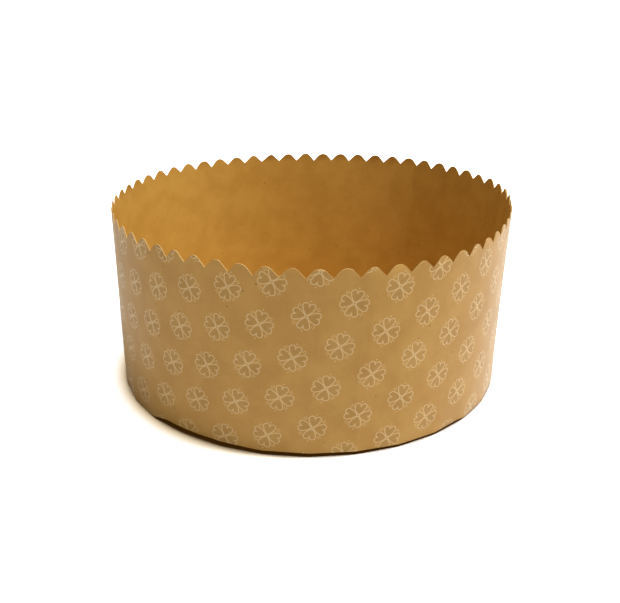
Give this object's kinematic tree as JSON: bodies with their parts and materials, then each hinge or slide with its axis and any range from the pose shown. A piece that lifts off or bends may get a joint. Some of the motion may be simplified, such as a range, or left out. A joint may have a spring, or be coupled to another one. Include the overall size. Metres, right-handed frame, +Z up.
{
  "type": "paper cake mold",
  "caption": "Low round baking mold of brown kraft paper: slightly tapered wall with a zigzag rim and a pale clover print outside, glued flat base.",
  "frame": {"origin": "centre of the underside of the base, where the mold rests", "axes": "+Z up out of the open mouth; -Y is the printed front that the picture shows; the wall's lap seam is just past +X towards +Y"},
  "size_m": [0.1682, 0.168, 0.0729],
  "materials": {
    "printed_kraft": "matt kraft with a pale line print",
    "plain_kraft": "smooth, slightly greaseproof kraft",
    "kraft_board": "uncoated board"
  },
  "bodies": {
    "root": {"side_wall": "printed_kraft", "inner_base_disc": "plain_kraft", "outer_base_disc": "kraft_board"}
  },
  "joints": []
}
